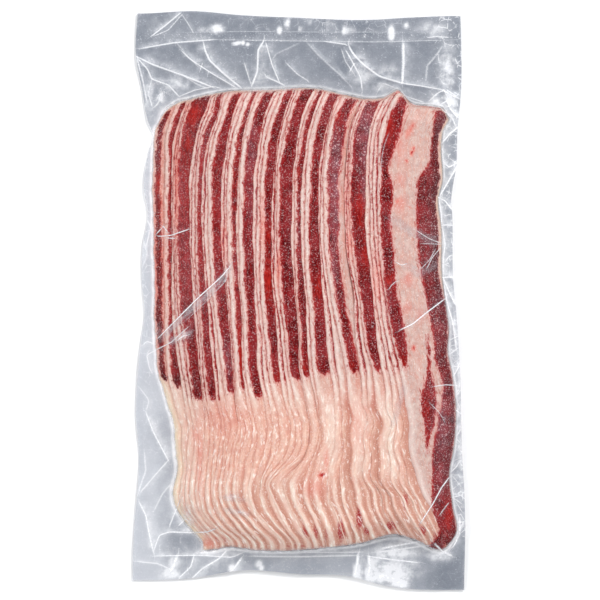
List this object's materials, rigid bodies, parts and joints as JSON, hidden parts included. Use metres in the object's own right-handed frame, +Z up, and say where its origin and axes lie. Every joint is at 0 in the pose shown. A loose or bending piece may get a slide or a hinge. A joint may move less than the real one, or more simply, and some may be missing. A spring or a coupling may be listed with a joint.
{
  "type": "vacuum pack of sliced beef",
  "caption": "Clear heat-sealed vacuum bag lying flat, drawn tight over thin shingled slices of fatty beef, with a flat film margin and sealed ends.",
  "frame": {"origin": "centre of the pack's outline, on the surface it lies on", "axes": "+X across the bag to the right, +Y along the bag to its head, +Z up out of the shown face"},
  "size_m": [0.1996, 0.3478, 0.0268],
  "materials": {
    "clear_film": "clear glossy nylon and polyethylene film, greyish where two plies lie together",
    "sliced_beef": "moist chilled beef, cream fat and dark red lean, glossy where the film clings to it"
  },
  "bodies": {
    "root": {"vacuum_pack": "clear_film"}
  },
  "joints": []
}
